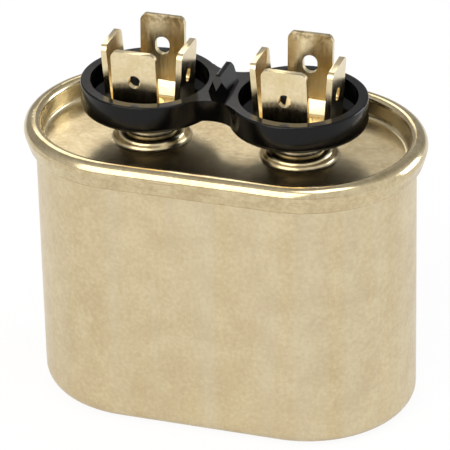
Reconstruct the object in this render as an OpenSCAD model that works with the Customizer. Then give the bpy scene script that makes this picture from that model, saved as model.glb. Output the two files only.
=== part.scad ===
// Oval motor run capacitor: a drawn can closed by a double-seamed lid, two four-blade
// quick-connect terminals standing in a black two-cup guard, and the oval film winding inside.
// Millimetres. Origin at the middle of the base, X along the long side, Z up.

/* [Can] */
// Length of the can's body, over its round ends
can_l = 53.3; // [44:0.1:65]
// Width of the can's body
can_w = 30; // [25:0.1:36]
// Height from the base to the top of the seam
seam_top = 40.6; // [33:0.1:60]
// Thickness of the can's wall and base
can_wall = 0.4; // [0.35:0.01:0.5]
// Outside radius of the rounded edge round the base
base_edge_r = 2.3; // [1.6:0.1:3]

/* [Lid and seam] */
// Thickness of the lid's sheet
lid_sheet = 0.36; // [0.3:0.01:0.4]
// Depth of the lid's panel below the top of the seam
lid_drop = 3.25; // [2.6:0.05:4.5]
// Inside radius where the panel turns up into the wall of the recess
panel_r = 0.7; // [0.4:0.05:1.2]
// Clearance between two layers of the seam
seam_gap = 0.065; // [0.05:0.005:0.1]
// Outside radius of the seam's inner top edge
seam_in_r = 0.8; // [0.6:0.05:0.85]
// Outside radius of the seam's outer top edge
seam_out_r = 1.45; // [1.1:0.05:1.5]
// Slope of the seam's outer wall, inwards on its way down, in degrees
seam_lean = 17; // [14:0.5:20]
// Inside radius of the fold at the seam's foot
lid_curl = 0.12; // [0.1:0.01:0.16]
// Length of the lid's hook, tucked up inside the seam
lid_hook = 1.7; // [1.2:0.05:1.75]
// Length of the can's hook, turned down over the lid's
can_hook = 0.7; // [0.5:0.05:0.8]
// Radius of the flat top of the boss pressed up under each terminal
boss_top_r = 4.1; // [3.6:0.05:4.6]
// Height of the boss above the panel
boss_h = 1.35; // [1.2:0.05:1.6]
// Outside radius of the boss's shoulder
boss_round_r = 0.75; // [0.6:0.05:0.9]
// Radius of the hollow at the boss's foot
boss_foot_r = 0.8; // [0.6:0.05:0.9]
// Steepest slope of the boss's side, in degrees
boss_slope = 72; // [60:1:80]

/* [Terminals] */
// Distance between the two terminals
pitch = 21.2; // [17.6:0.1:25.5]
// Width of a quick-connect blade
blade_w = 6.35; // [5.2:0.05:7.7]
// Thickness of a blade
blade_t = 0.8; // [0.5:0.05:1]
// Height of the front and rear blades above the guard's floor
tall_h = 11.9; // [10:0.1:15]
// Height of the side blades above the guard's floor
short_h = 10.8; // [9:0.1:13]
// Length of the slope that carries a front or rear blade outwards
tall_kick = 1.9; // [1.4:0.05:2.4]
// Length of the slope that carries a side blade outwards
short_kick = 0.95; // [0.7:0.05:2.4]
// Outward lean of every blade, in degrees from upright
lean = 4; // [0:0.5:6]
// Inside radius of each fold
fold_r = 0.5; // [0.3:0.05:0.8]
// Radius of a blade's top corners
blade_corner = 1; // [0.6:0.1:1.6]
// Distance from a blade's tip to the middle of its hole
hole_drop = 4.4; // [3.6:0.1:6]
// Width of the hole in the front and side blades
hole_w = 1.7; // [1.4:0.05:2.1]
// Height of the hole in the front and side blades
hole_h = 1.95; // [1.4:0.05:2.4]
// Width of the hole in the rear blade
rear_hole_w = 2.1; // [1.4:0.05:2.6]
// Height of the hole in the rear blade
rear_hole_h = 2.6; // [1.4:0.05:3.2]
// Radius of the rivet's shank
rivet_r = 1.5; // [1.2:0.05:1.7]
// Radius of the rivet's head
rivet_head_r = 2.3; // [2:0.05:2.6]
// Radial clearance between parts threaded on one another
fit = 0.05; // [0.03:0.01:0.1]

/* [Guard] */
// Outside radius of each cup of the guard
cup_r = 9.5; // [7.9:0.1:11.4]
// Thickness of a cup's wall
cup_wall = 1.35; // [1.1:0.05:1.65]
// Height of a cup's outer wall
cup_h = 4; // [3.2:0.1:4.8]
// Depth of a cup from its rim to its floor
cup_depth = 5.33; // [4.6:0.05:6.4]
// Height of the knee inside a cup above the foot of its outer wall
cup_knee = 1; // [0.8:0.1:1.4]
// Thickness of the floor
floor_t = 1.3; // [1:0.05:1.6]
// Radius of the hub under the floor
hub_r = 3.9; // [3.4:0.1:4.6]
// Half of the web's width between the two cups
web_w = 4.7; // [3.6:0.1:5.6]
// Height of the web
web_h = 3.05; // [2:0.05:3.6]
// Height of the fin above the rims
fin_h = 2.8; // [2:0.1:4]
// Half of the fin's length, front to back, at its foot
fin_l = 3.2; // [2.8:0.1:4]
// Half of the fin's length at its crest
fin_crest = 2.6; // [1.6:0.1:2.7]
// Length of the point at each end of the fin
fin_nose = 1.2; // [0.8:0.1:1.6]
// Half of the fin's thickness at its foot
fin_w = 1.5; // [1.2:0.1:2]
// Radius of the fin's crest
fin_tip = 0.4; // [0.3:0.05:0.6]

/* [Terminal stack] */
// Outside radius of the ferrule
ferrule_r = 3.2; // [2.8:0.05:3.5]
// Outside radius of the ferrule's flared foot
ferrule_foot_r = 3.65; // [3.5:0.05:4]
// Height of the ferrule between the lid's boss and the guard
ferrule_h = 1; // [0.9:0.05:1.6]
// Wall of the insulating bushing round the rivet
sleeve_t = 0.5; // [0.35:0.05:0.6]
// Radius of the bushing's flange under the lid
flange_r = 4.2; // [3.4:0.05:4.3]
// Thickness of that flange
flange_t = 1.2; // [0.9:0.05:1.5]
// Thickness of the contact tag
tag_t = 0.4; // [0.3:0.05:0.5]
// Distance from the terminal's axis to the tag's wire hole
tag_reach = 5.4; // [4.9:0.1:6.5]

/* [Winding] */
// Clearance between the base cup and the can
liner_gap = 0.2; // [0.1:0.05:0.3]
// Thickness of the base cup
liner_t = 0.5; // [0.4:0.05:0.6]
// Height of the base cup
liner_h = 6; // [4:0.5:9]
// Height of the rib that lifts the winding off the cup's floor
rib_h = 1; // [0.9:0.05:1.2]
// Thickness of the insulating wrap
wrap_t = 0.3; // [0.2:0.05:0.4]
// Thickness of each sprayed end contact
spray_t = 0.6; // [0.4:0.05:0.8]
// Half of the flattened core's thickness
core_r = 1.15; // [1.1:0.05:1.4]
// Wall of the core
core_t = 0.35; // [0.25:0.05:0.4]
// Radius of the lead wires
wire_r = 0.4; // [0.3:0.05:0.42]
// Length of each lead's foot on its end contact
foot_l = 7; // [4:0.5:9]

/* [Disconnect plate] */
// Thickness of the plate
plate_t = 1.2; // [0.9:0.1:1.5]
// Height of the posts between the plate and the lid
post_h = 2.9; // [2.7:0.1:3.6]
// Height of the skirt that stands on the winding
skirt_h = 2.3; // [2:0.1:3]

/* [Hidden] */
$fn = 72;

can_r = can_w / 2;
flat = can_l - can_w;
axis_x = pitch / 2;

// Radii of the seam's layers, from the recess outwards: lid, can, lid's hook, can's hook, lid
can_in = can_r - can_wall;
recess_r = can_in - seam_gap;
lid_hook_r = can_r + seam_gap + lid_sheet;
can_curl = (lid_hook_r + seam_gap - can_r + can_hook * sin(seam_lean)) / (1 + cos(seam_lean));
can_curl_z = seam_top - seam_out_r;
seam_in = can_r + 2 * can_curl + can_wall + seam_gap;
seam_in_curl = seam_in_r - lid_sheet;
seam_out_curl = seam_out_r - lid_sheet;
seam_run = (seam_in - lid_hook_r - lid_curl * (1 + cos(seam_lean))
    - seam_out_curl * (1 - cos(seam_lean))) / sin(seam_lean);

// Heights up the terminal stack
panel_z = seam_top - lid_drop;
lid_under = panel_z - lid_sheet;
boss_z = panel_z + boss_h;
boss_run = (boss_h - (boss_round_r + boss_foot_r) * (1 - cos(boss_slope))) / sin(boss_slope);
boss_r = boss_top_r + (boss_round_r + boss_foot_r) * sin(boss_slope)
    + boss_run * cos(boss_slope);
hub_z = boss_z + ferrule_h;
floor_z = hub_z + floor_t;
rim_z = floor_z + cup_depth;
wall_z = rim_z - cup_h;
rivet_top_z = floor_z + blade_t;
flange_z = lid_under - flange_t;
tag_z = flange_z - tag_t;
rivet_head_t = 0.7;
rivet_dome_r = 0.56;
rivet_foot_t = 0.5;
bore_r = rivet_r + fit;
sleeve_r = bore_r + sleeve_t;
pass_r = sleeve_r + fit;
plate_half = blade_w / 2 + 0.1;

// Heights inside the can
liner_r = can_in - liner_gap;
contact_z = can_wall + liner_t + rib_h;
winding_z = contact_z + spray_t;
plate_z = lid_under - post_h - plate_t;
winding_top = plate_z - skirt_h - spray_t;
winding_r = liner_r - liner_t - wrap_t - 3 * fit;
wire_x = axis_x - tag_reach;
elbow_r = 2 * wire_r;

// --- shared forms ---------------------------------------------------------------------

// The outline of the can's shape at a distance r from its two end axes
module track(r) {
    square([flat, 2 * r], center = true);
    for (s = [-1, 1]) translate([s * flat / 2, 0]) circle(r);
}

module track_ring(r_out, r_in) {
    difference() {
        track(r_out);
        track(r_in);
    }
}

// Carries a section, drawn from the middle outwards, all the way round the can's shape
module track_sweep() {
    translate([-flat / 2, 0, 0]) rotate([90, 0, 90]) linear_extrude(flat) {
        children();
        mirror([1, 0]) children();
    }
    for (s = [0, 1]) mirror([s, 0, 0]) translate([flat / 2, 0, 0])
        rotate([0, 0, -90]) rotate_extrude(angle = 180) children();
}

// A sector of a ring, between two angles less than half a turn apart
module ring_sector(r_in, r_out, a0, a1) {
    mid = (a0 + a1) / 2;
    far = 3 * r_out;
    intersection() {
        difference() {
            circle(r_out);
            circle(r_in);
        }
        polygon([[0, 0], far * [cos(a0), sin(a0)], far * [cos(mid), sin(mid)],
                 far * [cos(a1), sin(a1)]]);
    }
}

// Sheet metal seen edge-on: runs of [length, turn to the left, inside radius of the turn]
module folded(runs, t, i = 0) {
    run = runs[i];
    turn = run[1];
    r = run[2];
    square([run[0], t]);
    if (turn > 0) translate([run[0], t + r]) {
        ring_sector(r, r + t, -90, -90 + turn);
        rotate(turn) translate([0, -t - r]) folded(runs, t, i + 1);
    }
    if (turn < 0) translate([run[0], -r]) {
        ring_sector(r, r + t, 90, 90 + turn / 2);
        ring_sector(r, r + t, 90 + turn / 2, 90 + turn);
        rotate(turn) translate([0, r]) folded(runs, t, i + 1);
    }
}

// A hump with straight flanks and a round-cornered top, symmetrical about x = 0
module hump(foot, top, h, r) {
    cx = top - r;
    cz = h - r;
    d = norm([foot - cx, cz]);
    a = atan2(cz, cx - foot) - asin(r / d);
    reach = sqrt(d * d - r * r);
    touch = [foot + reach * cos(a), reach * sin(a)];
    polygon([[-foot, 0], [foot, 0], touch, [cx, cz], [cx, h], [-cx, h], [-cx, cz],
             [-touch[0], touch[1]]]);
    for (s = [-1, 1]) translate([s * cx, cz]) circle(r);
}

// What is cut away to round the outer corner at the origin, which points along +x and +y
module corner_cut(r) {
    difference() {
        translate([-r, -r]) square(2 * r);
        translate([-r, -r]) circle(r);
    }
}

module tube(r_out, r_in, z0, z1) {
    translate([0, 0, z0]) linear_extrude(z1 - z0) difference() {
        circle(r_out);
        circle(r_in);
    }
}

// --- can, lid and seam ----------------------------------------------------------------

// Drawn in one piece, its top edge turned out and down as the inner hook of the seam
module can() {
    color([0.78, 0.75, 0.67]) track_sweep() folded([
        [can_r - base_edge_r, 90, base_edge_r - can_wall],
        [can_curl_z - base_edge_r, -180 - seam_lean, can_curl],
        [can_hook, 0, 0]], can_wall);
}

// From the middle of the panel out, up, over the seam and back up inside it
module lid_section() {
    translate([0, lid_under]) folded([
        [recess_r - panel_r - lid_sheet, 90, panel_r],
        [seam_top - seam_in_r - panel_z - panel_r, -90, seam_in_curl],
        [seam_in - seam_out_curl - recess_r - seam_in_curl, -90 - seam_lean, seam_out_curl],
        [seam_run, seam_lean - 180, lid_curl],
        [lid_hook, 0, 0]], lid_sheet);
}

// The boss pressed up in the panel, with soft curves, open in the middle for the terminal
module boss() {
    rotate_extrude() translate([pass_r, boss_z - lid_sheet]) folded([
        [boss_top_r - pass_r, -boss_slope, boss_round_r - lid_sheet],
        [boss_run, boss_slope, boss_foot_r],
        [lid_sheet, 0, 0]], lid_sheet);
}

module lid() {
    color([0.76, 0.72, 0.62]) {
        difference() {
            track_sweep() lid_section();
            for (s = [-1, 1]) translate([s * axis_x, 0, lid_under - 1])
                cylinder(r = boss_r + lid_sheet / 2, h = lid_sheet + 2);
        }
        for (s = [-1, 1]) translate([s * axis_x, 0, 0]) boss();
    }
}

// Rubbery compound that fills the top of the seam, above the can's curl
module seam_sealant() {
    skin = seam_gap / 4;
    x0 = recess_r + skin;
    x1 = seam_in - skin;
    mid_0 = x0 + seam_in_curl;
    mid_1 = x1 - seam_out_curl;
    foot_z = can_curl_z + can_curl;
    top = seam_top - lid_sheet - skin;
    color([0.35, 0.42, 0.35]) track_sweep() difference() {
        union() {
            translate([x0, foot_z]) square([seam_in_curl, top - seam_in_curl - foot_z]);
            translate([mid_0, foot_z]) square([mid_1 - mid_0, top - foot_z]);
            intersection() {
                translate([mid_0, top - seam_in_curl]) circle(seam_in_curl);
                translate([x0, foot_z]) square([mid_1 - x0, top - foot_z]);
            }
            intersection() {
                translate([mid_1, top - seam_out_curl]) circle(seam_out_curl);
                translate([mid_0, foot_z]) square([x1 - mid_0, top - foot_z]);
            }
        }
        translate([can_r + can_curl, can_curl_z]) circle(can_curl + can_wall + skin);
    }
}

// --- guard ----------------------------------------------------------------------------

// Outside of one cup: an upright wall on a cone that narrows down to the hub
module cup_outside() {
    lower_r = 0.7;
    upper_r = 0.25;
    rotate_extrude() difference() {
        polygon([[0, hub_z], [hub_r, hub_z], [cup_r - lower_r, wall_z], [cup_r, wall_z],
                 [cup_r, rim_z], [0, rim_z]]);
        translate([cup_r, wall_z]) mirror([0, 1]) corner_cut(lower_r);
        translate([cup_r, rim_z]) corner_cut(upper_r);
    }
}

// The hollow of one cup, with a flat seat for the terminal and the rivet's bore below it
module cup_inside() {
    in_r = cup_r - cup_wall;
    seat_r = norm([blade_w / 2, plate_half]) + 5 * fit;
    rotate_extrude() polygon([[0, floor_z], [seat_r, floor_z], [in_r, wall_z + cup_knee],
        [in_r, rim_z + fin_h + 1], [0, rim_z + fin_h + 1]]);
    translate([0, 0, hub_z - 1]) cylinder(r = bore_r + fit, h = floor_t + 2);
}

// The web's sides are hollow arcs that run smoothly into both cups
module web() {
    hollow = (axis_x * axis_x + web_w * web_w - cup_r * cup_r) / (2 * (cup_r - web_w));
    share = cup_r / (cup_r + hollow);
    translate([0, 0, rim_z - web_h]) linear_extrude(web_h) difference() {
        square([2 * axis_x * (1 - share), 2 * share * (web_w + hollow)], center = true);
        for (s = [-1, 1]) translate([0, s * (web_w + hollow)]) circle(hollow);
    }
}

// The fin that stands on the web: a steep roof, pointed at both ends
module fin() {
    deep = 0.5;
    spread = 1 + deep / fin_h;
    side = fin_l - fin_nose;
    translate([0, 0, rim_z - deep]) intersection() {
        linear_extrude(fin_h + deep)
            polygon([[0, -fin_l], [fin_w, -side], [fin_w, side],
                     [0, fin_l], [-fin_w, side], [-fin_w, -side]]);
        translate([0, fin_l, 0]) rotate([90, 0, 0]) linear_extrude(2 * fin_l)
            hump(fin_w * spread, fin_tip, fin_h + deep, fin_tip);
        translate([-fin_w, 0, 0]) rotate([90, 0, 90]) linear_extrude(2 * fin_w)
            hump(fin_l * spread, fin_crest, fin_h + deep, 2 * fin_tip);
    }
}

module terminal_guard() {
    color([0.05, 0.05, 0.055]) difference() {
        union() {
            for (s = [-1, 1]) translate([s * axis_x, 0, 0]) cup_outside();
            web();
            fin();
        }
        for (s = [-1, 1]) translate([s * axis_x, 0, 0]) cup_inside();
    }
}

// --- terminals ------------------------------------------------------------------------

// One folded blade, from inside the base plate to its tip, which points up over +y
module blade(h, kick) {
    slope = 45;
    rest = 90 - lean - slope;
    rise = blade_t + fold_r * (1 - cos(slope)) + kick * sin(slope)
        + fold_r * (cos(slope) - sin(lean));
    run = (h - rise) / cos(lean);
    intersection() {
        translate([-blade_w / 2, plate_half - 1, floor_z]) rotate([90, 0, 90])
            linear_extrude(blade_w)
                folded([[1, slope, fold_r], [kick, rest, fold_r], [run, 0, 0]], blade_t);
        translate([0, 2 * h, floor_z - 1]) rotate([90, 0, 0]) linear_extrude(3 * h) {
            translate([-blade_w / 2 - 1, 0]) square([blade_w + 2, h + 1 - blade_corner]);
            translate([blade_corner - blade_w / 2, 0])
                square([blade_w - 2 * blade_corner, h + 2]);
            for (s = [-1, 1]) translate([s * (blade_w / 2 - blade_corner),
                h + 1 - blade_corner]) circle(blade_corner);
        }
    }
}

// A hole with round ends, taller than wide, through one blade and nothing else
module blade_hole(h, w, tall) {
    translate([0, plate_half, floor_z + h - hole_drop]) rotate([-90, 0, 0])
        linear_extrude(blade_w) {
            square([w, tall - w], center = true);
            for (s = [-1, 1]) translate([0, s * (tall - w) / 2]) circle(w / 2);
        }
}

// Four blades folded up from one cross-shaped blank, with the rivet's hole in its middle
module terminal() {
    difference() {
        union() {
            translate([0, 0, floor_z]) linear_extrude(blade_t) {
                square([blade_w, 2 * plate_half], center = true);
                square([2 * plate_half, blade_w], center = true);
            }
            for (a = [0, 180]) rotate(a) blade(tall_h, tall_kick);
            for (a = [90, 270]) rotate(a) blade(short_h, short_kick);
        }
        blade_hole(tall_h, rear_hole_w, rear_hole_h);
        rotate(180) blade_hole(tall_h, hole_w, hole_h);
        for (a = [90, 270]) rotate(a) blade_hole(short_h, hole_w, hole_h);
        translate([0, 0, floor_z - 1]) cylinder(r = bore_r, h = blade_t + 2);
    }
}

module left_terminal() {
    color([0.84, 0.77, 0.6]) translate([-axis_x, 0, 0]) terminal();
}

module right_terminal() {
    color([0.84, 0.77, 0.6]) translate([axis_x, 0, 0]) terminal();
}

// Semi-tubular rivet: domed head on the blades' plate, foot flared out under the tag
module rivet() {
    foot_z = tag_z - rivet_foot_t;
    hollow = rivet_r / 2;
    rotate_extrude() difference() {
        union() {
            translate([0, rivet_top_z]) square([rivet_head_r, rivet_head_t]);
            translate([0, tag_z]) square([rivet_r, rivet_top_z - tag_z]);
            translate([0, foot_z]) square([rivet_r + 2 * rivet_foot_t, rivet_foot_t]);
        }
        translate([rivet_head_r, rivet_top_z + rivet_head_t]) corner_cut(rivet_dome_r);
        translate([0, foot_z - 1]) square([hollow, 1 + 2 * hollow + flange_t]);
    }
}

module left_rivet() {
    color([0.8, 0.76, 0.66]) translate([-axis_x, 0, 0]) rivet();
}

module right_rivet() {
    color([0.8, 0.76, 0.66]) translate([axis_x, 0, 0]) rivet();
}

// Short collar between the boss and the guard's hub, flared at its foot
module ferrule() {
    lip = 0.15;
    flare = ferrule_foot_r - ferrule_r;
    rotate_extrude() difference() {
        translate([pass_r, boss_z]) square([ferrule_foot_r - pass_r, ferrule_h]);
        translate([ferrule_foot_r, boss_z + lip + flare]) circle(flare);
        translate([ferrule_r, boss_z + lip + flare]) square([2 * flare, ferrule_h]);
    }
}

module left_ferrule() {
    color([0.66, 0.63, 0.53]) translate([-axis_x, 0, 0]) ferrule();
}

module right_ferrule() {
    color([0.66, 0.63, 0.53]) translate([axis_x, 0, 0]) ferrule();
}

// Flanged plastic sleeve that keeps the rivet off the lid and the ferrule
module bushing() {
    tube(sleeve_r, bore_r, flange_z, hub_z - fit);
    tube(flange_r, bore_r, flange_z, lid_under);
}

module left_bushing() {
    color([0.9, 0.88, 0.8]) translate([-axis_x, 0, 0]) bushing();
}

module right_bushing() {
    color([0.9, 0.88, 0.8]) translate([axis_x, 0, 0]) bushing();
}

// Rubber ring squeezed up into the hollow of the boss by the bushing's flange
module gasket() {
    tube(boss_top_r, pass_r, lid_under, boss_z - lid_sheet);
}

module left_gasket() {
    color([0.25, 0.25, 0.27]) translate([-axis_x, 0, 0]) gasket();
}

module right_gasket() {
    color([0.25, 0.25, 0.27]) translate([axis_x, 0, 0]) gasket();
}

// Washer with an arm that points to the middle of the can and ends in a wire hole
module contact_tag() {
    washer_r = 2 * rivet_r;
    arm_w = 2.6;
    translate([0, 0, tag_z]) linear_extrude(tag_t) difference() {
        union() {
            circle(washer_r);
            translate([0, -arm_w / 2]) square([tag_reach, arm_w]);
            translate([tag_reach, 0]) circle(arm_w / 2);
        }
        circle(bore_r);
        translate([tag_reach, 0]) circle(wire_r + fit);
    }
}

module left_contact_tag() {
    color([0.82, 0.62, 0.3]) translate([-axis_x, 0, 0]) contact_tag();
}

module right_contact_tag() {
    color([0.82, 0.62, 0.3]) mirror([1, 0, 0]) translate([-axis_x, 0, 0]) contact_tag();
}

// --- inside ---------------------------------------------------------------------------

// Plate on a skirt, with posts up to the lid: if the lid bulges, the leads tear off it
module disconnect_plate() {
    plate_r = winding_r - 2 * fit;
    skirt_t = 0.9;
    post_r = 1;
    post_y = recess_r - lid_sheet - panel_r - 2 * post_r;
    color([0.93, 0.92, 0.88]) {
        translate([0, 0, plate_z]) linear_extrude(plate_t) difference() {
            track(plate_r);
            for (s = [-1, 1]) translate([s * wire_x, 0]) circle(wire_r + 2 * fit);
            circle(2 * rivet_r);
        }
        translate([0, 0, plate_z - skirt_h]) linear_extrude(skirt_h)
            track_ring(plate_r, plate_r - skirt_t);
        for (x = [-1, 1], y = [-1, 1])
            translate([x * flat / 2, y * post_y, plate_z + plate_t])
                cylinder(r = post_r, h = post_h);
    }
}

// Sprayed zinc layer over one end of the winding, open over the core
module end_contact(z) {
    color([0.6, 0.6, 0.6]) translate([0, 0, z]) linear_extrude(spray_t)
        track_ring(winding_r, core_r + fit);
}

module upper_end_contact() {
    end_contact(winding_top);
}

module lower_end_contact() {
    end_contact(contact_z);
}

// All the turns of metallised film, wound on the core and pressed oval
module film_winding() {
    color([0.75, 0.77, 0.8]) translate([0, 0, winding_z])
        linear_extrude(winding_top - winding_z) track_ring(winding_r, core_r + fit);
}

// Flattened plastic tube that the film is wound on
module winding_core() {
    color([0.95, 0.95, 0.93]) translate([0, 0, contact_z])
        linear_extrude(winding_top + spray_t - contact_z)
            track_ring(core_r, core_r - core_t);
}

// Insulating sheet round the winding, closed on itself
module winding_wrap() {
    wrap_in = winding_r + fit;
    edge_z = can_wall + base_edge_r + 2 * fit;
    color([0.88, 0.86, 0.75]) translate([0, 0, edge_z])
        linear_extrude(winding_top + 2 * spray_t - edge_z)
            track_ring(wrap_in + wrap_t, wrap_in);
}

// Plastic tray that stands in the bottom of the can and holds the winding clear of it
module base_cup() {
    rib_r = liner_r - base_edge_r;
    color([0.9, 0.9, 0.86]) {
        translate([0, 0, can_wall]) track_sweep() folded([
            [liner_r - base_edge_r, 90, base_edge_r - liner_t],
            [liner_h - base_edge_r, 0, 0]], liner_t);
        translate([0, 0, can_wall + liner_t / 2]) linear_extrude(rib_h + liner_t / 2)
            track_ring(rib_r, rib_r - 1);
    }
}

// Wire that drops from (0, 0, top), turns in an elbow and lies along +y with its axis at z
module lead_wire(top, z) {
    translate([0, 0, z + elbow_r]) cylinder(r = wire_r, h = top - z - elbow_r);
    translate([0, elbow_r, z + elbow_r]) rotate([180, 0, 0]) rotate([90, 0, 90])
        rotate_extrude(angle = 90) translate([elbow_r, 0]) circle(wire_r);
    translate([0, elbow_r, z]) rotate([-90, 0, 0]) cylinder(r = wire_r, h = foot_l);
}

// From the left terminal to the upper end contact
module short_lead() {
    color([0.8, 0.8, 0.78]) translate([-wire_x, 0, 0])
        lead_wire(tag_z + tag_t + fit, winding_top + spray_t + wire_r);
}

// From the right terminal down through the core to the lower end contact
module long_lead() {
    color([0.8, 0.8, 0.78]) translate([wire_x, 0, 0])
        lead_wire(tag_z + tag_t + fit, contact_z - wire_r);
}

// Insulating sleeve on the long lead where it passes down the core
module lead_sleeve() {
    color([0.95, 0.93, 0.8]) translate([wire_x, 0, 0])
        tube(core_r - core_t - fit, wire_r + fit, contact_z + spray_t, plate_z - fit);
}

can();
lid();
seam_sealant();
terminal_guard();
left_terminal();
right_terminal();
left_rivet();
right_rivet();
left_ferrule();
right_ferrule();
left_bushing();
right_bushing();
left_gasket();
right_gasket();
left_contact_tag();
right_contact_tag();
disconnect_plate();
upper_end_contact();
lower_end_contact();
film_winding();
winding_core();
winding_wrap();
base_cup();
short_lead();
long_lead();
lead_sleeve();
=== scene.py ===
# %% [markdown]
# # An oval motor run capacitor
# The construction comes from CAD and stays where it is. This lesson adds what a camera
# would see: the studio, the finish of every metal and plastic, and the small forms that
# are too fine for the CAD model. Everything is in metres, Z up, with the origin under
# the middle of the can.

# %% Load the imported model
import math

import bpy
import numpy as np
from mathutils import Matrix, Vector


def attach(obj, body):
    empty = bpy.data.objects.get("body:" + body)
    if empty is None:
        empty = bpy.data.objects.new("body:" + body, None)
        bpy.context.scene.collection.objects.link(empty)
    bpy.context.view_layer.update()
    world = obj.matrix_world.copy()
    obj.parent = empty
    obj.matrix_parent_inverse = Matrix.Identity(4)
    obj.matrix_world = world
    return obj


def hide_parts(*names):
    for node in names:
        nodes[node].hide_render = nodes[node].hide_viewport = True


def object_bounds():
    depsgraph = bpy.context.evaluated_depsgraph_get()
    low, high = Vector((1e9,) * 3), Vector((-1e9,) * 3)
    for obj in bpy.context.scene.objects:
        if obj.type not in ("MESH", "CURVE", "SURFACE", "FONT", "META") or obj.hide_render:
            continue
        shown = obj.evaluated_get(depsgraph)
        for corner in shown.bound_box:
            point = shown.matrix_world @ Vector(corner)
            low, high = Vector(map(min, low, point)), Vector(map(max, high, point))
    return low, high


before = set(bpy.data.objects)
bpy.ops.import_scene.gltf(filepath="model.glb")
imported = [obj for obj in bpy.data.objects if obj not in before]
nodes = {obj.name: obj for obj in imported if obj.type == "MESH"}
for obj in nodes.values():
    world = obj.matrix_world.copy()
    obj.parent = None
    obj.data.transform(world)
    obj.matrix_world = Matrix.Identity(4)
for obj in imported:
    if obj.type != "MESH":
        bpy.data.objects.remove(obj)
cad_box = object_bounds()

MM = 0.001
low, high = cad_box
print("CAD box in mm:", [round(v / MM, 2) for v in (high - low)])

# %% [markdown]
# ## Colours and nodes
# Colours are given as sRGB hex values, but a shader works in linear light, so one
# function converts them. Another adds a node with its settings and links in one call,
# which keeps each material's recipe short enough to read.

# %% Helpers for materials
def linear(hex_colour):
    """sRGB hex to linear RGBA: c / 12.92 below 0.04045, else ((c + 0.055) / 1.055)^2.4."""
    srgb = [int(hex_colour[i:i + 2], 16) / 255 for i in (1, 3, 5)]
    return [c / 12.92 if c <= 0.04045 else ((c + 0.055) / 1.055) ** 2.4 for c in srgb] + [1.0]


def add(tree, kind, inputs=None, **settings):
    """Adds a node: settings are its properties, inputs are values or sockets to link."""
    node = tree.nodes.new("ShaderNode" + kind)
    for name, value in settings.items():
        setattr(node, name, value)
    for name, value in (inputs or {}).items():
        if isinstance(value, bpy.types.NodeSocket):
            tree.links.new(value, node.inputs[name])
        else:
            node.inputs[name].default_value = value
    return node


def per_mm(size_mm):
    """The Scale at which a texture on Object coordinates has features of this size."""
    return 1.0 / (size_mm * MM)


print("white is", linear("#ffffff"))

# %% [markdown]
# ## The camera
# A long lens from well back keeps the upright edges of the can nearly parallel. A camera
# could be aimed with a Track To constraint, but here its place and its turn come from three
# angles and a distance, so that each can be read and changed by itself.

# %% Camera
AZIMUTH, ELEVATION, ROLL = np.radians([18.77, 28.71, -1.37])
DISTANCE = 0.5158
AIM = Vector((-0.00025, -0.00008, 0.02488))
LENS_MM, SENSOR_MM = 298.2, 36.0

camera_data = bpy.data.cameras.new("camera")
camera_data.lens = LENS_MM
camera_data.sensor_width = SENSOR_MM
camera_data.clip_start = 0.01
camera = bpy.data.objects.new("camera", camera_data)
bpy.context.scene.collection.objects.link(camera)
bpy.context.scene.camera = camera
back = Vector((math.sin(AZIMUTH) * math.cos(ELEVATION),
               -math.cos(AZIMUTH) * math.cos(ELEVATION), math.sin(ELEVATION)))
turn = back.to_track_quat("Z", "Y").to_matrix().to_4x4() @ Matrix.Rotation(ROLL, 4, "Z")
camera.matrix_world = Matrix.Translation(AIM + back * DISTANCE) @ turn
bpy.context.scene.view_settings.view_transform = "Standard"
print("camera at", [round(v, 4) for v in camera.location])

# %% [markdown]
# ## What the metal sees
# Bare metal is mostly a picture of what stands round it. That could be an image of a room
# or cards built as meshes. A few nodes do it here: the camera sees plain white, a mirror
# ray sees a pale tent that is brighter in front and at the right than behind, and every
# other ray gets an even light at a plain level.

# %% World
world = bpy.data.worlds.new("studio")
bpy.context.scene.world = world
world.use_nodes = True
tree = world.node_tree
tree.nodes.clear()
AMBIENT = 0.5
path = add(tree, "LightPath")
mirrored = add(tree, "Math", {0: path.outputs["Is Glossy Ray"],
                              1: path.outputs["Is Transmission Ray"]}, operation="MAXIMUM")
seen = add(tree, "Math", {0: path.outputs["Is Camera Ray"], 1: mirrored.outputs[0]},
           operation="MAXIMUM")
toward = add(tree, "SeparateXYZ", {0: add(tree, "TexCoord").outputs["Generated"]})
TENT_BACK, TENT_FRONT = 0.45, 0.85
tent = add(tree, "MapRange", {"Value": toward.outputs["Y"], "From Min": -0.6,
                              "From Max": 0.4, "To Min": TENT_FRONT, "To Max": TENT_BACK},
           interpolation_type="SMOOTHSTEP")
right_side = add(tree, "MapRange", {"Value": toward.outputs["X"], "From Min": 0.2,
                                    "From Max": 0.9, "To Max": 0.5},
                 interpolation_type="SMOOTHSTEP")
tent = add(tree, "Math", {0: tent.outputs[0], 1: right_side.outputs[0]}, operation="ADD",
           use_clamp=True)
shade = add(tree, "Mix", {"Factor": mirrored.outputs[0], "A": 1.0, "B": tent.outputs[0]},
            data_type="FLOAT")
ambient = add(tree, "Background", {"Color": linear("#ffffff"), "Strength": AMBIENT})
white = add(tree, "Background", {"Color": linear("#ffffff"),
                                 "Strength": shade.outputs["Result"]})
shown = add(tree, "MixShader", {0: seen.outputs[0], 1: ambient.outputs[0],
                                2: white.outputs[0]})
add(tree, "OutputWorld", {"Surface": shown.outputs[0]})
print("ambient level", AMBIENT)

# %% [markdown]
# ## The paper under the can
# A shop picture is taken on white paper. A sweep that curves up could be modelled, but the
# camera looks down, so a flat sheet fills its view. The camera takes most of it as white
# and a small share as lit paper, and that share is what carries the soft shadow.

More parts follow.
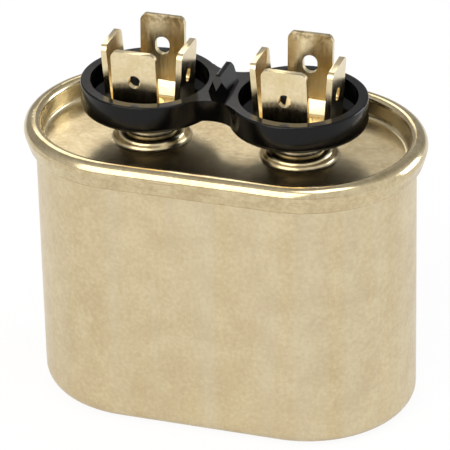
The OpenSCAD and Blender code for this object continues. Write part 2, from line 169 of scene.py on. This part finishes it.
# %% Floor
FLOOR = 3.0
floor_mesh = bpy.data.meshes.new("floor")
floor_mesh.from_pydata([(x * FLOOR, y * FLOOR, 0.0) for x, y in
                        ((-1, -1), (1, -1), (1, 1), (-1, 1))], [], [(0, 1, 2, 3)])
floor = bpy.data.objects.new("floor", floor_mesh)
bpy.context.scene.collection.objects.link(floor)
paper = bpy.data.materials.new("white paper sweep")
paper.use_nodes = True
tree = paper.node_tree
tree.nodes.clear()
CAMERA_GLOW, MIRROR_GLOW = 0.92, 0.5
path = add(tree, "LightPath")
mirrored = add(tree, "Math", {0: path.outputs["Is Glossy Ray"],
                              1: path.outputs["Is Transmission Ray"]}, operation="MAXIMUM")
mirrored = add(tree, "Math", {0: mirrored.outputs[0], 1: MIRROR_GLOW}, operation="MULTIPLY")
share = add(tree, "Math", {0: path.outputs["Is Camera Ray"], 1: CAMERA_GLOW},
            operation="MULTIPLY")
share = add(tree, "Math", {0: share.outputs[0], 1: mirrored.outputs[0]},
            operation="MAXIMUM")
lit = add(tree, "BsdfDiffuse", {"Color": linear("#f4f4f4")})
glow = add(tree, "Emission", {"Color": linear("#ffffff"), "Strength": 1.0})
shown = add(tree, "MixShader", {0: share.outputs[0], 1: lit.outputs[0], 2: glow.outputs[0]})
add(tree, "OutputMaterial", {"Surface": shown.outputs[0]})
floor_mesh.materials.append(paper)
print("floor reaches", FLOOR, "m")

# %% [markdown]
# ## Soft boxes
# Square area lamps give the wide highlights that show a rolled edge as round. One lamp is
# the main light and three weaker ones lift the top, the right side and the back.

# %% Lamps
def soft_lamp(name, azimuth, elevation, distance, size, power, colour):
    """A square area lamp on a sphere round the can, facing its middle."""
    data = bpy.data.lights.new(name, "AREA")
    data.shape = "SQUARE"
    data.size = size
    data.energy = power
    data.color = linear(colour)[:3]
    lamp = bpy.data.objects.new(name, data)
    bpy.context.scene.collection.objects.link(lamp)
    a, e = math.radians(azimuth), math.radians(elevation)
    out = Vector((math.sin(a) * math.cos(e), -math.cos(a) * math.cos(e), math.sin(e)))
    lamp.matrix_world = (Matrix.Translation(Vector((0, 0, 0.03)) + out * distance)
                         @ out.to_track_quat("Z", "Y").to_matrix().to_4x4())
    return lamp


soft_lamp("key at the front left", -20, 36, 0.8, 0.75, 5.0, "#fff6e8")
soft_lamp("top light", 60, 75, 0.9, 0.4, 2.0, "#ffffff")
soft_lamp("cool light at the right", 128, 12, 0.9, 0.4, 3.5, "#eaf2ff")
soft_lamp("light from behind left", -150, 40, 1.0, 0.4, 1.2, "#fff8ee")
print("four soft lamps")

# %% [markdown]
# ## The can: drawn aluminium
# The can is drawn from sheet in a press. That leaves a satin skin with fine upright lines
# where the metal slid through the die, faint blotches, and a few scuffs from handling.

# %% Mottled and streaked colour
def mottled(tree, place, tones, cloud_mm, grain_mm, grain_share):
    """Colour that drifts in clouds between three tones, with a finer grain over it."""
    cloud = add(tree, "TexNoise", {"Vector": place, "Scale": per_mm(cloud_mm),
                                   "Detail": 6.0, "Roughness": 0.62})
    grain = add(tree, "TexNoise", {"Vector": place, "Scale": per_mm(grain_mm),
                                   "Detail": 3.0, "Roughness": 0.6})
    level = add(tree, "Mix", {"Factor": grain_share, "A": cloud.outputs["Fac"],
                              "B": grain.outputs["Fac"]}, data_type="FLOAT")
    ramp = add(tree, "ValToRGB", {"Fac": level.outputs["Result"]})
    stops = ramp.color_ramp.elements
    stops[0].position, stops[0].color = 0.38, linear(tones[0])
    stops[1].position, stops[1].color = 0.62, linear(tones[2])
    middle = stops.new(0.5)
    middle.color = linear(tones[1])
    return ramp.outputs["Color"]


def faded(tree, value, start, end, low=0.0, high=1.0):
    """A smooth step of a value from low at start to high at end."""
    return add(tree, "MapRange", {"Value": value, "From Min": start, "From Max": end,
                                  "To Min": low, "To Max": high},
               interpolation_type="SMOOTHSTEP").outputs[0]


def new_material(name):
    """An empty material, its node tree and its Object coordinates."""
    material = bpy.data.materials.new(name)
    material.use_nodes = True
    material.node_tree.nodes.clear()
    place = add(material.node_tree, "TexCoord").outputs["Object"]
    return material, material.node_tree, place


def stretched(tree, place, scale):
    """Coordinates pulled out along an axis, by a scale under 1 on that axis."""
    return add(tree, "Mapping", {"Vector": place, "Scale": scale}).outputs[0]


print("helpers ready")

# %% Drawn aluminium
# Deep-drawn aluminium, as it leaves the die: satin, with fine upright lines and scuffs
drawn, tree, place = new_material("drawn aluminium")
tint = mottled(tree, place, ("#c4b28f", "#cbbb97", "#d3c5a2"), 4.0, 0.6, 0.5)
upright = stretched(tree, place, (1.0, 1.0, 0.04))
bands = add(tree, "TexNoise", {"Vector": upright, "Scale": per_mm(4.0), "Detail": 4.0,
                               "Roughness": 0.65})
bands = faded(tree, bands.outputs["Fac"], 0.4, 0.65, 0.0, 0.2)
tint = add(tree, "Mix", {"Factor": bands, "A": tint, "B": linear("#d4ccbb")},
           data_type="RGBA").outputs["Result"]
lines = add(tree, "TexNoise", {"Vector": upright, "Scale": per_mm(0.5), "Detail": 3.0,
                               "Roughness": 0.7})
scuff_place = add(tree, "Mapping", {"Vector": place, "Rotation": (0.0, 0.5, 0.0),
                                    "Scale": (1.0, 1.0, 6.0)}).outputs[0]
scuffs = add(tree, "TexNoise", {"Vector": scuff_place, "Scale": per_mm(1.4),
                                "Detail": 4.0, "Roughness": 0.7})
scuffs = faded(tree, scuffs.outputs["Fac"], 0.66, 0.72)
tint = add(tree, "Mix", {"Factor": faded(tree, scuffs, 0.0, 1.0, 0.0, 0.3), "A": tint,
                         "B": linear("#8f8468")}, data_type="RGBA").outputs["Result"]
rough = add(tree, "MapRange", {"Value": lines.outputs["Fac"], "From Min": 0.3,
                               "From Max": 0.7, "To Min": 0.26, "To Max": 0.38})
bump = add(tree, "Bump", {"Height": lines.outputs["Fac"], "Distance": 3e-6})
shader = add(tree, "BsdfPrincipled", {"Base Color": tint, "Metallic": 1.0,
                                      "Roughness": rough.outputs[0],
                                      "Normal": bump.outputs[0]})
add(tree, "OutputMaterial", {"Surface": shader.outputs[0]})
print("made", drawn.name)

# %% [markdown]
# ## The lid: pressed and rolled aluminium
# The lid is stamped from thin sheet, then its edge is rolled over the can's as a double
# seam. Two materials would need a split mesh. One does both, because height tells the flat
# panel from the seam: the rollers polish what stands high and leave lines along it.

# %% Pressed and rolled aluminium
# Aluminium sheet, satin where it was only pressed and brighter where it was rolled
PANEL_Z, SEAM_Z = 0.0376, 0.0392
pressed, tree, place = new_material("pressed aluminium sheet")
tint = mottled(tree, place, ("#b9a984", "#c6b692", "#d0c29e"), 3.0, 0.6, 0.4)
height = add(tree, "SeparateXYZ", {0: place}).outputs["Z"]
rolled = faded(tree, height, PANEL_Z, SEAM_Z)
along = stretched(tree, place, (0.06, 0.06, 1.0))
lines = add(tree, "TexNoise", {"Vector": along, "Scale": per_mm(0.35), "Detail": 3.0,
                               "Roughness": 0.6})
worn = faded(tree, lines.outputs["Fac"], 0.52, 0.72, 0.0, 0.5)
worn = add(tree, "Math", {0: worn, 1: rolled}, operation="MULTIPLY").outputs[0]
tint = add(tree, "Mix", {"Factor": worn, "A": tint, "B": linear("#a58a63")},
           data_type="RGBA").outputs["Result"]
rough = faded(tree, height, PANEL_Z, SEAM_Z, 0.27, 0.17)
bump = add(tree, "Bump", {"Height": lines.outputs["Fac"], "Strength": rolled,
                           "Distance": 2e-6})
shader = add(tree, "BsdfPrincipled", {"Base Color": tint, "Metallic": 1.0,
                                      "Roughness": rough, "Normal": bump.outputs[0]})
add(tree, "OutputMaterial", {"Surface": shader.outputs[0]})
print("made", pressed.name)

# %% [markdown]
# ## The blades: tin-plated brass
# Push-on blades are stamped from brass and plated, which leaves a smooth pale skin. Handling
# browns the tips of the rear pair, so a stain is kept to the last part of those by height
# and by depth. It could be painted as a map; noise and two masks need no picture.

# %% Tin-plated brass
# Bright tin over brass, warm where the plating is thin, with faint lines along the blade
tinned, tree, place = new_material("tin-plated brass")
tint = mottled(tree, place, ("#d5c398", "#dccba4", "#e3d5b2"), 3.0, 0.5, 0.4)
parts_of = add(tree, "SeparateXYZ", {0: place})
height = parts_of.outputs["Z"]
rear = faded(tree, parts_of.outputs["Y"], 0.001, 0.004)
stain = add(tree, "TexNoise", {"Vector": place, "Scale": per_mm(0.8), "Detail": 4.0,
                               "Roughness": 0.7})
stain = faded(tree, stain.outputs["Fac"], 0.42, 0.62)
TIP_Z = high[2]
tips = faded(tree, height, TIP_Z - 0.0022, TIP_Z - 0.0002, 0.0, 0.7)
stain = add(tree, "Math", {0: stain, 1: tips}, operation="MULTIPLY").outputs[0]
stain = add(tree, "Math", {0: stain, 1: rear}, operation="MULTIPLY").outputs[0]
tint = add(tree, "Mix", {"Factor": stain, "A": tint, "B": linear("#84704a")},
           data_type="RGBA").outputs["Result"]
upright = stretched(tree, place, (1.0, 1.0, 0.08))
lines = add(tree, "TexNoise", {"Vector": upright, "Scale": per_mm(0.35), "Detail": 3.0,
                               "Roughness": 0.6})
rough = add(tree, "MapRange", {"Value": lines.outputs["Fac"], "From Min": 0.3,
                               "From Max": 0.7, "To Min": 0.16, "To Max": 0.26})
bump = add(tree, "Bump", {"Height": lines.outputs["Fac"], "Distance": 1.5e-6})
shader = add(tree, "BsdfPrincipled", {"Base Color": tint, "Metallic": 1.0,
                                      "Roughness": rough.outputs[0],
                                      "Normal": bump.outputs[0]})
add(tree, "OutputMaterial", {"Surface": shader.outputs[0]})
print("made", tinned.name)


# %% [markdown]
# ## Plainer metals
# The collars, the sprayed zinc on the winding and the brass tags need only a tint and a
# grain. One recipe with different values is easier to follow than three copies.

# %% Plainer metals
def plain_metal(name, tones, roughness, cloud_mm, grain_mm, grain_um):
    """Metal with mottled colour and an even grain, for the small and the hidden pieces."""
    material, tree, place = new_material(name)
    tint = mottled(tree, place, tones, cloud_mm, grain_mm, 0.4)
    grain = add(tree, "TexNoise", {"Vector": place, "Scale": per_mm(grain_mm),
                                   "Detail": 3.0})
    rough = add(tree, "MapRange", {"Value": grain.outputs["Fac"], "From Min": 0.3,
                                   "From Max": 0.7, "To Min": roughness * 0.8,
                                   "To Max": roughness * 1.2})
    bump = add(tree, "Bump", {"Height": grain.outputs["Fac"], "Distance": grain_um * 1e-6})
    shader = add(tree, "BsdfPrincipled", {"Base Color": tint, "Metallic": 1.0,
                                          "Roughness": rough.outputs[0],
                                          "Normal": bump.outputs[0]})
    add(tree, "OutputMaterial", {"Surface": shader.outputs[0]})
    return material


# Aluminium turned on a lathe, its tint darker than the can's as painted shade from the guard
# above, then zinc sprayed on molten, and stamped bare brass
shaded_collar_metal = plain_metal("turned aluminium with painted shade", ("#8f8468", "#a79c80", "#bbb096"), 0.42, 2.0, 0.5, 1)
zinc = plain_metal("sprayed zinc", ("#85878a", "#999b9e", "#adafb1"), 0.6, 1.0, 0.3, 20)
tag_metal = plain_metal("bare brass", ("#b98f3e", "#cda650", "#dcb968"), 0.3, 3.0, 0.5, 1)
print("made", shaded_collar_metal.name, zinc.name, tag_metal.name)


# %% [markdown]
# ## Plastics and rubber
# Moulded parts take the surface of their mould, near one colour with a faint grain. The
# guard is a glossy black thermoset, and the rest is inside the can and finished plainly.

# %% Plastics
def moulding(name, light, dark, roughness, grain_mm, grain_um, specular=0.5):
    """Moulded plastic or rubber: near one colour, with a faint grain from the mould."""
    material, tree, place = new_material(name)
    blotch = add(tree, "TexNoise", {"Vector": place, "Scale": per_mm(6.0), "Detail": 3.0})
    tone = add(tree, "Mix", {"Factor": blotch.outputs["Fac"], "A": linear(dark),
                             "B": linear(light)}, data_type="RGBA")
    rough = add(tree, "MapRange", {"Value": blotch.outputs["Fac"], "From Min": 0.3,
                                   "From Max": 0.7, "To Min": roughness * 0.8,
                                   "To Max": roughness * 1.2})
    grain = add(tree, "TexNoise", {"Vector": place, "Scale": per_mm(grain_mm),
                                   "Detail": 2.0})
    bump = add(tree, "Bump", {"Height": grain.outputs["Fac"], "Distance": grain_um * 1e-6})
    shader = add(tree, "BsdfPrincipled", {"Base Color": tone.outputs["Result"],
                                          "Roughness": rough.outputs[0],
                                          "Specular IOR Level": specular,
                                          "Normal": bump.outputs[0]})
    add(tree, "OutputMaterial", {"Surface": shader.outputs[0]})
    return material


black = moulding("glossy black thermoset", "#070708", "#040404", 0.13, 0.9, 3.0, 0.22)
natural = moulding("natural polypropylene", "#ece9dc", "#dedac8", 0.45, 0.5, 4.0)
rubber = moulding("nitrile rubber", "#35373a", "#26282a", 0.6, 0.3, 6.0)
film = moulding("metallised polypropylene film", "#c3c8cf", "#aeb3bb", 0.25, 0.3, 3.0)
sheet = moulding("insulating sheet", "#e2dabd", "#d3c9a6", 0.4, 0.6, 3.0)
compound = moulding("sealing compound", "#5c6a5a", "#4c584a", 0.7, 0.3, 10.0)
print("plastics made")

# %% [markdown]
# ## Each piece gets its finish
# Assigning by hand in the editor is quick for one part, but a table shows every piece and
# its finish at a glance, and a change there reaches all the pieces that share one.

# %% Give each CAD node its finish
FINISH = {
    drawn: ["can"],
    pressed: ["lid"],
    black: ["terminal_guard"],
    tinned: ["left_rivet", "right_rivet", "short_lead", "long_lead"],
    shaded_collar_metal: ["left_ferrule", "right_ferrule"],
    natural: ["left_bushing", "right_bushing", "disconnect_plate", "winding_core",
              "base_cup"],
    rubber: ["left_gasket", "right_gasket"],
    tag_metal: ["left_contact_tag", "right_contact_tag"],
    zinc: ["upper_end_contact", "lower_end_contact"],
    film: ["film_winding"],
    sheet: ["winding_wrap", "lead_sleeve"],
    compound: ["seam_sealant"],
}
for material, names in FINISH.items():
    for name in names:
        nodes[name].data.materials.clear()
        nodes[name].data.materials.append(material)
print("finished", sum(len(names) for names in FINISH.values()), "nodes")

# %% [markdown]
# ## Softened edges
# A stamped blade has edges that are slightly rolled over, and a moulding has no knife
# edges, and it is those narrow rounds that catch the light. A copy of the CAD mesh is
# merged, its flat triangles are joined, and a Bevel modifier rounds what is still sharp.

# %% Softened copies
import bmesh

EDGE_ANGLE = math.radians(35)      # a fold sharper than this is an edge to round
FLAT_ANGLE = math.radians(0.6)     # flatter than this is one face cut into triangles
MERGE = 1e-6
BLADE_EDGE_MM = 0.12


def softened(node, material, width_mm, segments=3):
    """A merged copy of a CAD node whose edges over 35 degrees are rounded to a width."""
    source = nodes[node]
    mesh = source.data.copy()
    mesh.name = node + "_soft"
    work = bmesh.new()
    work.from_mesh(mesh)
    bmesh.ops.remove_doubles(work, verts=work.verts, dist=MERGE)
    bmesh.ops.dissolve_limit(work, angle_limit=FLAT_ANGLE, verts=work.verts,
                             edges=work.edges)
    work.to_mesh(mesh)
    work.free()
    mesh.materials.clear()
    mesh.materials.append(material)
    mesh.shade_smooth()
    mesh.set_sharp_from_angle(angle=EDGE_ANGLE)
    piece = bpy.data.objects.new(mesh.name, mesh)
    bpy.context.scene.collection.objects.link(piece)
    bevel = piece.modifiers.new("soft edges", "BEVEL")
    bevel.width = width_mm * MM
    bevel.segments = segments
    bevel.limit_method = "ANGLE"
    bevel.angle_limit = EDGE_ANGLE
    bevel.harden_normals = True
    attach(piece, "root")
    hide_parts(node)
    return piece


for side in ("left", "right"):
    blades = softened(side + "_terminal", tinned, BLADE_EDGE_MM)
    print(blades.name, len(blades.data.polygons), "faces before the bevel")
